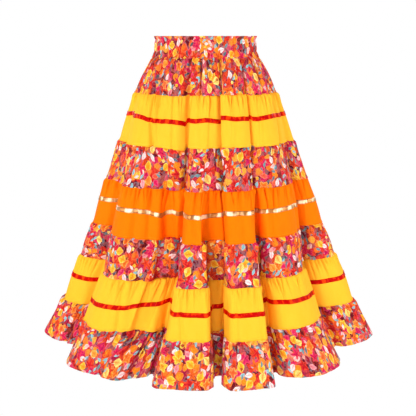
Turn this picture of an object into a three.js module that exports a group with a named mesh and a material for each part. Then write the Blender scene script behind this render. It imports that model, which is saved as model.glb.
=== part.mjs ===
// Tiered prairie skirt in the hollow form it has when worn: an elastic waistband and seven gathered tiers,
// each a front and a back panel joined at the side seams, with a ribbon sewn round three of them.
// Millimetres, +Z up. The origin is the centre of the waist, half-way up the waistband. The wearer faces -Y.
import * as THREE from "three";

// Thickness of the cloth, of the doubled waistband with its elastic, and of the ribbons, measured level.
const clothThickness = 1.2;
const bandThickness = 2.6;
const ribbonThickness = 0.8;
const ribbonWidth = 10;
const seamGap = 0.3;

// The horizontal rings at the seams, from the waist to the hem. front and back reach from the origin to the
// crests of the folds, halfWidth is half the width, setBack is how far behind the origin the ring is widest,
// and foldDepth is how far the valleys of the folds lie inside the crests.
const rings = [
  { at: "waistband top", z: 27, halfWidth: 137, front: 102, back: 103, setBack: 0, foldDepth: 1 },
  { at: "waistband foot", z: -28, halfWidth: 143, front: 110, back: 112, setBack: 2, foldDepth: 4 },
  { at: "tier 1 foot", z: -121, halfWidth: 190, front: 146, back: 150, setBack: 12, foldDepth: 9 },
  { at: "tier 2 foot", z: -250, halfWidth: 239, front: 190, back: 195, setBack: 18, foldDepth: 15 },
  { at: "tier 3 foot", z: -354, halfWidth: 277, front: 223, back: 228, setBack: 24, foldDepth: 27 },
  { at: "tier 4 foot", z: -480, halfWidth: 321, front: 263, back: 268, setBack: 32, foldDepth: 52 },
  { at: "tier 5 foot", z: -582, halfWidth: 361, front: 300, back: 304, setBack: 44, foldDepth: 82 },
  { at: "tier 6 foot", z: -706, halfWidth: 411, front: 340, back: 344, setBack: 50, foldDepth: 92 },
  { at: "hem", z: -815, halfWidth: 468, front: 382, back: 386, setBack: 55, foldDepth: 102 },
];

// Where the folds turn, in order from the left side seam across the front and round the back to that seam
// again. Left and right are as seen from the front, so the right side is +X. Angles are in degrees from the
// front towards +X. Shares of the ring's foldDepth say how far in the turn lies. Both are given at the waist,
// half-way down and at the hem. Breadth at the hem: 0 is a sharp turn, 3 a broad one.
const turns = [
  { turn: "left side crest", angles: [-88, -90, -93], shares: [0, 0, 0], breadth: 1.2 },
  { turn: "valley", angles: [-80, -70, -70], shares: [1, 1, 1], breadth: 0.8 },
  { turn: "crest", angles: [-60, -43, -50], shares: [0, 0.12, 0.13], breadth: 1.4 },
  { turn: "hollow", angles: [-45, -26, -38], shares: [1.1, 0.65, 0.2], breadth: 1 },
  { turn: "slope", angles: [-31, -19, -31], shares: [-1.5, 1, 0.15], breadth: 1 },
  { turn: "valley", angles: [-16, -12, -20], shares: [1, 1.2, 0.85], breadth: 0.3 },
  { turn: "crest", angles: [-4, -3, -8], shares: [0, 0, 0.1], breadth: 3 },
  { turn: "valley", angles: [8, 5, 5], shares: [0.8, 1, 1], breadth: 1.2 },
  { turn: "crest", angles: [23, 15, 16], shares: [0, 0, 0], breadth: 3 },
  { turn: "valley", angles: [39, 30, 26], shares: [1, 1.2, 0.85], breadth: 0.3 },
  { turn: "crest", angles: [55, 42, 43], shares: [0, 0.5, 0.2], breadth: 2.3 },
  { turn: "valley", angles: [80, 70, 68], shares: [1, 1, 0.95], breadth: 0.8 },
  { turn: "right side crest", angles: [88, 87, 87], shares: [0, -0.1, -0.09], breadth: 1.2 },
  { turn: "valley", angles: [112, 117, 119], shares: [0.9, 1, 0.9], breadth: 0.6 },
  { turn: "crest", angles: [127, 131, 135], shares: [0, 0.1, 0.1], breadth: 2.6 },
  { turn: "valley", angles: [143, 147, 149], shares: [1.1, 0.9, 0.8], breadth: 0.3 },
  { turn: "crest", angles: [158, 161, 163], shares: [0, 0, 0.05], breadth: 3 },
  { turn: "valley", angles: [172, 175, 177], shares: [0.9, 1, 0.95], breadth: 0.3 },
  { turn: "crest", angles: [188, 189, 191], shares: [0, 0.1, 0], breadth: 2.8 },
  { turn: "valley", angles: [202, 203, 206], shares: [1.1, 0.8, 0.75], breadth: 0.3 },
  { turn: "crest", angles: [219, 218, 220], shares: [0, 0, 0.12], breadth: 2.5 },
  { turn: "valley", angles: [238, 235, 235], shares: [0.9, 1, 0.95], breadth: 0.7 },
];
const rightSeamTurn = turns.findIndex(({ turn }) => turn === "right side crest");
const waistBreadth = 1.3; // how broad every turn is at the waist

// The tiers from the top, with the finish of each, how far it bellies out at mid-height, its steps
// along half a fold and, if it has one, its ribbon and how far down the tier that lies.
const tiers = [
  { name: "tier1_print", finish: "leafPrint", belly: 5, steps: 3 },
  { name: "tier2_yellow", finish: "yellowCotton", belly: 3, steps: 3, ribbon: "ribbon1_red", ribbonAt: 0.45 },
  { name: "tier3_print", finish: "leafPrint", belly: 0, steps: 4 },
  { name: "tier4_orange", finish: "orangeCotton", belly: 4, steps: 4, ribbon: "ribbon2_gold", ribbonAt: 0.45 },
  { name: "tier5_print", finish: "leafPrint", belly: 4, steps: 4 },
  { name: "tier6_yellow", finish: "yellowCotton", belly: 5, steps: 4, ribbon: "ribbon3_red", ribbonAt: 0.48 },
  { name: "tier7_print", finish: "leafPrint", belly: 0, steps: 4 },
];

// The waistband's rows from the frilled heading down to its foot, and how far each is drawn in by the elastic.
const bandRows = [
  { z: 27, drawnIn: 0 },
  { z: 17, drawnIn: 5 },
  { z: -12, drawnIn: 4 },
  { z: -28, drawnIn: 0 },
];
const bandSteps = 2;

const finishes = {
  leafPrint: { color: 0xc8503c, roughness: 0.85 },
  yellowCotton: { color: 0xf7bf22, roughness: 0.8 },
  orangeCotton: { color: 0xf77a05, roughness: 0.8 },
  redSatin: { color: 0xd81508, roughness: 0.35 },
  goldRibbon: { color: 0xcf9a5b, roughness: 0.3, metalness: 0.6 },
};
const ribbonFinish = { ribbon1_red: "redSatin", ribbon2_gold: "goldRibbon", ribbon3_red: "redSatin" };

const degree = Math.PI / 180;
const blend = (from, to, share) => from + (to - from) * share;
const smooth = (u) => u * u * (3 - 2 * u);

// The ring a share of the way from one of the rings to the next. Its own down is 0 at the waist, 1 at the hem.
function ringBetween(index, share) {
  const upper = rings[index];
  const lower = rings[index + 1];
  const ring = {};
  for (const size of ["z", "halfWidth", "front", "back", "setBack", "foldDepth"]) {
    ring[size] = blend(upper[size], lower[size], share);
  }
  const foot = rings[1].z;
  ring.down = Math.max(0, (foot - ring.z) / (foot - rings.at(-1).z));
  return ring;
}

// The smooth curve through a row's values at the waist, half-way down and at the hem.
function alongSkirt([waist, middle, hem], down) {
  return waist * (1 - down) * (1 - 2 * down) + middle * 4 * down * (1 - down) + hem * down * (2 * down - 1);
}

// A turn's angle, where the turn after the last is the first again.
function turnAngle(number, down) {
  const laps = Math.floor(number / turns.length);
  return alongSkirt(turns[number - laps * turns.length].angles, down) + 360 * laps;
}

// The point of a ring's outer line a share of the way from one turn to the next.
function foldPoint(ring, number, share) {
  const from = turns[number];
  const to = turns[(number + 1) % turns.length];
  const breadthAt = (turn) => blend(waistBreadth, turn.breadth, Math.sqrt(ring.down));
  const early = breadthAt(from) * share * (1 - share) ** 2;
  const late = breadthAt(to) * share * share * (1 - share);
  const along = early + smooth(share) - late;
  const angle = blend(turnAngle(number, ring.down), turnAngle(number + 1, ring.down), along) * degree;

  const insetAt = (turn) => ring.foldDepth * alongSkirt(turn.shares, ring.down);
  const inset = blend(insetAt(from), insetAt(to), smooth(share));
  const reach = Math.cos(angle) > 0 ? ring.front + ring.setBack : ring.back - ring.setBack;
  const across = Math.sin(angle) / ring.halfWidth;
  const forward = Math.cos(angle) / reach;
  const length = Math.hypot(across, forward);
  return new THREE.Vector3(
    ring.halfWidth * Math.sin(angle) - (inset * across) / length,
    ring.setBack - reach * Math.cos(angle) + (inset * forward) / length,
    ring.z,
  );
}

// A ring's outer line as points, from the left side seam round to where it closes.
function ringLine(ring, steps) {
  const line = [];
  for (let number = 0; number < turns.length; number += 1) {
    for (let step = 0; step < steps; step += 1) line.push(foldPoint(ring, number, step / steps));
  }
  return line;
}

// A closed line moved level, outwards where distance is positive.
function movedOut(line, distance) {
  return line.map((point, i) => {
    const before = line.at(i - 1);
    const after = line[(i + 1) % line.length];
    const outward = new THREE.Vector3(after.y - before.y, before.x - after.x, 0).normalize();
    return point.clone().addScaledVector(outward, distance);
  });
}

// The stretch of each closed line from one column to another, its ends drawn in by half a seam gap.
function stretch(lines, from, to) {
  return lines.map((line) => {
    const cut = [];
    for (let i = from; i <= to; i += 1) cut.push(line[i % line.length].clone());
    const drawIn = (end, next) => end.addScaledVector(next.clone().sub(end).normalize(), seamGap / 2);
    drawIn(cut[0], cut[1]);
    drawIn(cut.at(-1), cut.at(-2));
    return cut;
  });
}

// A wall between outer and inner lines, listed from the top row down. A closed wall is a whole ring.
function wall(outer, inner, closed) {
  const columns = outer[0].length;
  const rows = outer.length;
  const positions = [...outer.flat(), ...inner.flat()].flatMap((point) => point.toArray());
  const faces = [];
  const quad = (a, b, c, d) => faces.push(a, b, c, a, c, d);
  const o = (row, column) => row * columns + (column % columns);
  const i = (row, column) => rows * columns + o(row, column);
  const spans = closed ? columns : columns - 1;
  const last = rows - 1;
  for (let c = 0; c < spans; c += 1) {
    for (let r = 0; r < last; r += 1) {
      quad(o(r, c), o(r + 1, c), o(r + 1, c + 1), o(r, c + 1));
      quad(i(r, c), i(r, c + 1), i(r + 1, c + 1), i(r + 1, c));
    }
    quad(o(0, c), o(0, c + 1), i(0, c + 1), i(0, c));
    quad(o(last, c), i(last, c), i(last, c + 1), o(last, c + 1));
  }
  if (!closed) {
    for (let r = 0; r < last; r += 1) {
      quad(i(r, 0), i(r + 1, 0), o(r + 1, 0), o(r, 0));
      quad(o(r, spans), o(r + 1, spans), i(r + 1, spans), i(r, spans));
    }
  }
  const geometry = new THREE.BufferGeometry();
  geometry.setAttribute("position", new THREE.Float32BufferAttribute(positions, 3));
  geometry.setIndex(faces);
  geometry.computeVertexNormals();
  return geometry;
}

const skirt = new THREE.Group();

function addPiece(name, geometry, finish) {
  const material = new THREE.MeshStandardMaterial({ metalness: 0, ...finishes[finish] });
  const mesh = new THREE.Mesh(geometry, material);
  mesh.name = name;
  skirt.add(mesh);
}

// The waistband is one strip, doubled over its elastic and closed into a ring.
function addWaistband() {
  const [top, foot] = rings;
  const outer = bandRows.map((row) => {
    const ring = ringBetween(0, (top.z - row.z) / (top.z - foot.z));
    if (row.z === foot.z) ring.z += seamGap / 2;
    return movedOut(ringLine(ring, bandSteps), -row.drawnIn);
  });
  const inner = outer.map((line) => movedOut(line, -bandThickness));
  addPiece("waistband", wall(outer, inner, true), "leafPrint");
}

// The rings of a tier's rows: its two edges and, between them, its ribbon's edges or the middle of its belly.
function tierRings(tier, index) {
  const drop = rings[index].z - rings[index + 1].z;
  const edge = seamGap / 2 / drop;
  const foot = index === tiers.length ? 1 : 1 - edge;
  const halfRibbon = ribbonWidth / 2 / drop;
  const middle = tier.belly > 0 ? [0.5] : [];
  const between = tier.ribbon ? [tier.ribbonAt - halfRibbon, tier.ribbonAt + halfRibbon] : middle;
  return [edge, ...between, foot].map((share) => {
    const ring = ringBetween(index, share);
    const belly = tier.belly * Math.sin(Math.PI * share);
    ring.halfWidth += belly;
    ring.front += belly;
    ring.back += belly;
    return ring;
  });
}

// A tier's front and back panels, and its ribbon, which lies on both.
function addTier(tier, index) {
  const outer = tierRings(tier, index).map((ring) => ringLine(ring, tier.steps));
  const inner = outer.map((line) => movedOut(line, -clothThickness));
  const columns = outer[0].length;
  const rightSeam = rightSeamTurn * tier.steps;
  for (const [side, from, to] of [["front", 0, rightSeam], ["back", rightSeam, columns]]) {
    const panel = wall(stretch(outer, from, to), stretch(inner, from, to), false);
    addPiece(`${tier.name}_${side}`, panel, tier.finish);
  }
  if (tier.ribbon) {
    const under = outer.slice(1, 3).map((line) => movedOut(line, seamGap));
    const over = under.map((line) => movedOut(line, ribbonThickness));
    addPiece(tier.ribbon, wall(over, under, true), ribbonFinish[tier.ribbon]);
  }
}

addWaistband();
tiers.forEach((tier, i) => addTier(tier, i + 1));

export default skirt;
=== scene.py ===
import bpy
import math
import numpy as np
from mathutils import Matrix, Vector


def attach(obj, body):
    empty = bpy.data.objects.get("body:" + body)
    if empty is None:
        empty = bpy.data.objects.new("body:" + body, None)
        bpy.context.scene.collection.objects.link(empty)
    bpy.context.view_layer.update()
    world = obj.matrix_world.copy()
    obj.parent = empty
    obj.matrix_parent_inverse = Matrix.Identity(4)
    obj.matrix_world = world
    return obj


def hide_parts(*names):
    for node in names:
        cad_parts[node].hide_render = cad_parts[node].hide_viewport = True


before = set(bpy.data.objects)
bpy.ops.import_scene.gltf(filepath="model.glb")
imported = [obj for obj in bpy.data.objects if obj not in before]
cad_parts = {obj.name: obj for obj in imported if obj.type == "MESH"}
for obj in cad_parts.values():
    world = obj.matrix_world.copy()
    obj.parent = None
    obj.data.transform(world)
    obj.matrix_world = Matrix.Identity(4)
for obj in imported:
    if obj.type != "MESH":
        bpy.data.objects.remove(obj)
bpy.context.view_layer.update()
print("frame loaded")

# the camera, the light and the floor, in metres
studio = {
    "cameraPlace": (0.007, -2.400, 0.027),  # level with the top of the waistband
    "cameraPitch": 10.94,  # degrees looking down
    "lens": 77.0,
    "sensorWidth": 36,
    "floorHeight": -1.25,
    "floorSize": 24.0,
    "floorTone": 0.8,
    "floorRoughness": 0.9,
    "worldLight": 0.14,  # what the room gives; the backdrop itself shows white
    "backdrop": 1.0,
}
studioLamps = [  # name, place, width, power, aimed at
    ("keySoftbox", (-1.9, -3.2, 1.6), 0.9, 131.0, (0.0, 0.0, -0.4)),
    ("leftSoftbox", (-3.1, -0.8, 0.3), 1.2, 37.0, (0.0, 0.0, -0.45)),
    ("rightSoftbox", (3.1, -1.2, 0.2), 1.2, 84.0, (0.0, 0.0, -0.45)),
    ("lowSoftbox", (0.1, -3.5, -0.9), 1.4, 46.0, (0.0, 0.0, -0.75)),
    ("backSoftboxLeft", (-1.8, 2.6, 0.9), 1.4, 46.0, (0.0, 0.0, -0.4)),
    ("backSoftboxRight", (1.9, 2.5, 0.9), 1.4, 40.0, (0.0, 0.0, -0.4)),
]


def makeCamera():
    cameraData = bpy.data.cameras.new("productCamera")
    cameraData.lens = studio["lens"]
    cameraData.sensor_width = studio["sensorWidth"]
    camera = bpy.data.objects.new("productCamera", cameraData)
    camera.location = studio["cameraPlace"]
    camera.rotation_euler = (math.radians(90 - studio["cameraPitch"]), 0, 0)
    bpy.context.collection.objects.link(camera)
    bpy.context.scene.camera = camera


def makeLamp(name, place, width, power, target):
    lampData = bpy.data.lights.new(name, "AREA")
    lampData.shape = "SQUARE"
    lampData.size = width
    lampData.energy = power
    lamp = bpy.data.objects.new(name, lampData)
    lamp.location = place
    lamp.rotation_euler = (Vector(target) - Vector(place)).to_track_quat("-Z", "Y").to_euler()
    bpy.context.collection.objects.link(lamp)


def makeFloor():
    half = studio["floorSize"] / 2
    height = studio["floorHeight"]
    tone = studio["floorTone"]
    floorMesh = bpy.data.meshes.new("studioFloor")
    corners = [(-half, -half, height), (half, -half, height), (half, half, height), (-half, half, height)]
    floorMesh.from_pydata(corners, [], [(0, 1, 2, 3)])
    floorMaterial = bpy.data.materials.new("paleFloor")
    floorMaterial.use_nodes = True
    nodes, links = floorMaterial.node_tree.nodes, floorMaterial.node_tree.links
    shader = nodes["Principled BSDF"]
    shader.inputs["Base Color"].default_value = (tone, tone, tone, 1)
    shader.inputs["Roughness"].default_value = studio["floorRoughness"]
    glow = nodes.new("ShaderNodeEmission")
    mixed = nodes.new("ShaderNodeMixShader")
    ray = nodes.new("ShaderNodeLightPath")
    glow.inputs["Strength"].default_value = studio["backdrop"]
    links.new(ray.outputs["Is Camera Ray"], mixed.inputs[0])
    links.new(shader.outputs[0], mixed.inputs[1])
    links.new(glow.outputs[0], mixed.inputs[2])
    links.new(mixed.outputs[0], nodes["Material Output"].inputs["Surface"])
    floorMesh.materials.append(floorMaterial)
    floor = bpy.data.objects.new("studioFloor", floorMesh)
    bpy.context.collection.objects.link(floor)


def makeWorld():
    world = bpy.data.worlds.new("studioWorld")
    world.use_nodes = True
    nodes, links = world.node_tree.nodes, world.node_tree.links
    background = nodes["Background"]
    background.inputs["Color"].default_value = (1, 1, 1, 1)
    strength = nodes.new("ShaderNodeMapRange")
    ray = nodes.new("ShaderNodeLightPath")
    strength.inputs["To Min"].default_value = studio["worldLight"]
    strength.inputs["To Max"].default_value = studio["backdrop"]
    links.new(ray.outputs["Is Camera Ray"], strength.inputs["Value"])
    links.new(strength.outputs[0], background.inputs["Strength"])
    bpy.context.scene.world = world
    bpy.context.scene.view_settings.view_transform = "Standard"


makeCamera()
makeWorld()
makeFloor()
for lampFacts in studioLamps:
    makeLamp(*lampFacts)
print("studio ready")


# small helpers for node trees
def setSocket(tree, socket, value):
    if isinstance(value, bpy.types.NodeSocket):
        tree.links.new(value, socket)
    else:
        socket.default_value = value


def mathNode(tree, operation, *values):
    node = tree.nodes.new("ShaderNodeMath")
    node.operation = operation
    for socket, value in zip(node.inputs, values):
        setSocket(tree, socket, value)
    return node.outputs[0]


def vectorNode(tree, operation, *values, output=0):
    node = tree.nodes.new("ShaderNodeVectorMath")
    node.operation = operation
    for socket, value in zip(node.inputs, values):
        setSocket(tree, socket, value)
    return node.outputs[output]


def scaleVector(tree, vector, factor):
    node = tree.nodes.new("ShaderNodeVectorMath")
    node.operation = "SCALE"
    setSocket(tree, node.inputs[0], vector)
    setSocket(tree, node.inputs["Scale"], factor)
    return node.outputs[0]


def rangeNode(tree, value, fromLow, fromHigh, toLow=0.0, toHigh=1.0):
    node = tree.nodes.new("ShaderNodeMapRange")
    node.interpolation_type = "SMOOTHSTEP"
    names = ("Value", "From Min", "From Max", "To Min", "To Max")
    for name, number in zip(names, (value, fromLow, fromHigh, toLow, toHigh)):
        setSocket(tree, node.inputs[name], number)
    return node.outputs[0]


def mixColor(tree, factor, first, second):
    node = tree.nodes.new("ShaderNodeMix")
    node.data_type = "RGBA"
    setSocket(tree, node.inputs[0], factor)
    setSocket(tree, node.inputs[6], first)
    setSocket(tree, node.inputs[7], second)
    return node.outputs[2]


def noiseNode(tree, vector, scale, detail=2.0, roughness=0.5, output=0):
    node = tree.nodes.new("ShaderNodeTexNoise")
    node.noise_dimensions = "2D"
    setSocket(tree, node.inputs["Vector"], vector)
    setSocket(tree, node.inputs["Scale"], scale)
    setSocket(tree, node.inputs["Detail"], detail)
    setSocket(tree, node.inputs["Roughness"], roughness)
    return node.outputs[output]


def splitVector(tree, vector):
    node = tree.nodes.new("ShaderNodeSeparateXYZ")
    setSocket(tree, node.inputs[0], vector)
    return node.outputs


def newGroup(name, inputs, outputs):
    group = bpy.data.node_groups.new(name, "ShaderNodeTree")
    for socketName, kind, value in inputs:
        socket = group.interface.new_socket(name=socketName, in_out="INPUT", socket_type=kind)
        if value is not None:
            socket.default_value = value
    for socketName, kind in outputs:
        group.interface.new_socket(name=socketName, in_out="OUTPUT", socket_type=kind)
    entry = group.nodes.new("NodeGroupInput")
    leave = group.nodes.new("NodeGroupOutput")
    return group, entry.outputs, leave.inputs


def useGroup(tree, group, **values):
    node = tree.nodes.new("ShaderNodeGroup")
    node.node_tree = group
    for name, value in values.items():
        setSocket(tree, node.inputs[name], value)
    return node.outputs


def paint(red, green, blue):  # from 0 to 255 as a paint chart gives it, to the shader's own scale
    def part(value):  # the usual curve between the two
        share = value / 255
        return share / 12.92 if share <= 0.04045 else ((share + 0.055) / 1.055) ** 2.4

    return (part(red), part(green), part(blue), 1.0)


def paletteNode(tree, value, colours):  # picks one of the colours, each with its share
    ramp = tree.nodes.new("ShaderNodeValToRGB")
    ramp.color_ramp.interpolation = "CONSTANT"
    total = sum(share for share, _ in colours)
    stops = ramp.color_ramp.elements
    start = 0.0
    for index, (share, colour) in enumerate(colours):
        stop = stops[index] if index < 2 else stops.new(start)  # a new ramp has two stops
        stop.position = start
        stop.color = paint(*colour)
        start += share / total
    setSocket(tree, ramp.inputs[0], value)
    return ramp.outputs[0]



# shared effects, each a node group
# for each point its nearest leaf: where the point lies in that leaf's own frame, and the leaf's two chances
def makeLeafScatter():
    tree, entry, leave = newGroup(
        "leafScatter",
        [
            ("Cloth", "NodeSocketVector", None),
            ("Spacing", "NodeSocketFloat", 0.02),
            ("Shift", "NodeSocketVector", None),
            ("Unevenness", "NodeSocketFloat", 0.85),
        ],
        [("Local", "NodeSocketVector"), ("Pick", "NodeSocketFloat"), ("Chance", "NodeSocketFloat")],
    )
    moved = vectorNode(tree, "ADD", entry["Cloth"], entry["Shift"])
    scaled = scaleVector(tree, moved, mathNode(tree, "DIVIDE", 1.0, entry["Spacing"]))
    cells = tree.nodes.new("ShaderNodeTexVoronoi")
    cells.voronoi_dimensions = "2D"
    cells.inputs["Scale"].default_value = 1.0
    setSocket(tree, cells.inputs["Vector"], scaled)
    setSocket(tree, cells.inputs["Randomness"], entry["Unevenness"])
    away = vectorNode(tree, "SUBTRACT", scaled, cells.outputs["Position"])
    away = scaleVector(tree, away, entry["Spacing"])
    chances = tree.nodes.new("ShaderNodeSeparateColor")
    setSocket(tree, chances.inputs[0], cells.outputs["Color"])
    turned = tree.nodes.new("ShaderNodeVectorRotate")
    turned.rotation_type = "Z_AXIS"
    setSocket(tree, turned.inputs["Vector"], away)
    setSocket(tree, turned.inputs["Angle"], mathNode(tree, "MULTIPLY", chances.outputs[0], 2 * math.pi))
    setSocket(tree, leave["Local"], turned.outputs[0])
    setSocket(tree, leave["Pick"], chances.outputs[1])
    setSocket(tree, leave["Chance"], chances.outputs[2])
    return tree


leafOutputs = [(name, "NodeSocketFloat") for name in ("Mask", "Vein", "Rim", "Heart")]
ovalShape = {  # across and along count in half widths and half lengths
    "bend": -0.2,
    "point": 1.6,  # lower is more pointed
    "taper": -0.4,
    "breadth": 1.05,
    "edge": 0.07,
    "midrib": (0.04, 0.15),
    "veinSlant": 0.55,
    "veinCount": 15.0,
    "veinSharp": (0.5, 0.95),
    "sideVeins": 0.6,
    "rim": (0.4, 0.05),
    "heartPull": -0.45,
    "heart": (0.2, 0.95),
}


def makeOvalLeaf():  # a pointed leaf, broader towards its stalk, with a midrib and side veins
    tree, entry, leave = newGroup(
        "ovalLeaf",
        [
            ("Local", "NodeSocketVector", None),
            ("Half Length", "NodeSocketFloat", 0.01),
            ("Half Width", "NodeSocketFloat", 0.005),
        ],
        leafOutputs,
    )
    place = splitVector(tree, entry["Local"])
    along = mathNode(tree, "DIVIDE", place[0], entry["Half Length"])
    square = mathNode(tree, "MULTIPLY", along, along)
    across = mathNode(tree, "DIVIDE", place[1], entry["Half Width"])
    across = mathNode(tree, "ABSOLUTE", mathNode(tree, "MULTIPLY_ADD", square, ovalShape["bend"], across))
    away = mathNode(tree, "POWER", mathNode(tree, "ABSOLUTE", along), ovalShape["point"])
    taper = mathNode(tree, "MULTIPLY_ADD", along, ovalShape["taper"], ovalShape["breadth"])
    outline = mathNode(tree, "MULTIPLY", mathNode(tree, "SUBTRACT", 1.0, away), taper)
    inside = mathNode(tree, "SUBTRACT", outline, across)
    setSocket(tree, leave["Mask"], rangeNode(tree, inside, 0.0, ovalShape["edge"]))
    midrib = rangeNode(tree, across, *ovalShape["midrib"], 1.0, 0.0)
    slant = mathNode(tree, "MULTIPLY_ADD", across, ovalShape["veinSlant"], along)
    ribs = mathNode(tree, "SINE", mathNode(tree, "MULTIPLY", slant, ovalShape["veinCount"]))
    sides = rangeNode(tree, ribs, *ovalShape["veinSharp"])
    sides = mathNode(tree, "MULTIPLY", sides, ovalShape["sideVeins"])
    setSocket(tree, leave["Vein"], mathNode(tree, "MAXIMUM", midrib, sides))
    setSocket(tree, leave["Rim"], rangeNode(tree, inside, *ovalShape["rim"]))
    core = mathNode(tree, "MULTIPLY_ADD", along, ovalShape["heartPull"], inside)
    setSocket(tree, leave["Heart"], rangeNode(tree, core, *ovalShape["heart"]))
    return tree


lobedShape = {  # reach counts in leaf radii
    "lobePoint": 0.8,
    "toothPace": 6.4,
    "tipLonger": 0.22,
    "breadth": 0.85,
    "edge": 0.06,
    "vein": (0.025, 0.09),
    "rim": (0.3, 0.05),
    "heart": (0.75, 0.1),
}


def makeLobedLeaf():  # a leaf with pointed lobes round its stalk, toothed edges and a vein up each lobe
    tree, entry, leave = newGroup(
        "lobedLeaf",
        [
            ("Local", "NodeSocketVector", None),
            ("Radius", "NodeSocketFloat", 0.012),
            ("Lobes", "NodeSocketFloat", 5.0),
            ("Lobe Depth", "NodeSocketFloat", 0.45),
            ("Teeth", "NodeSocketFloat", 0.05),
        ],
        leafOutputs,
    )
    place = splitVector(tree, entry["Local"])
    turn = mathNode(tree, "ARCTAN2", place[1], place[0])
    reach = mathNode(tree, "DIVIDE", vectorNode(tree, "LENGTH", entry["Local"], output=1), entry["Radius"])
    half = mathNode(tree, "MULTIPLY", mathNode(tree, "MULTIPLY", turn, entry["Lobes"]), 0.5)
    wave = mathNode(tree, "ABSOLUTE", mathNode(tree, "SINE", half))
    lobe = mathNode(tree, "POWER", mathNode(tree, "SUBTRACT", 1.0, wave), lobedShape["lobePoint"])
    tooth = mathNode(tree, "PINGPONG", mathNode(tree, "MULTIPLY", turn, lobedShape["toothPace"]), 1.0)
    depth = entry["Lobe Depth"]
    outline = mathNode(tree, "MULTIPLY_ADD", lobe, depth, mathNode(tree, "SUBTRACT", 1.0, depth))
    tip = mathNode(tree, "COSINE", turn)
    longer = mathNode(tree, "MULTIPLY_ADD", tip, lobedShape["tipLonger"], lobedShape["breadth"])
    outline = mathNode(tree, "MULTIPLY", outline, longer)
    outline = mathNode(tree, "MULTIPLY_ADD", tooth, entry["Teeth"], outline)
    inside = mathNode(tree, "SUBTRACT", outline, reach)
    setSocket(tree, leave["Mask"], rangeNode(tree, inside, 0.0, lobedShape["edge"]))
    offVein = mathNode(tree, "MULTIPLY", wave, reach)
    setSocket(tree, leave["Vein"], rangeNode(tree, offVein, *lobedShape["vein"], 1.0, 0.0))
    setSocket(tree, leave["Rim"], rangeNode(tree, inside, *lobedShape["rim"]))
    setSocket(tree, leave["Heart"], rangeNode(tree, reach, *lobedShape["heart"]))
    return tree


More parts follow.
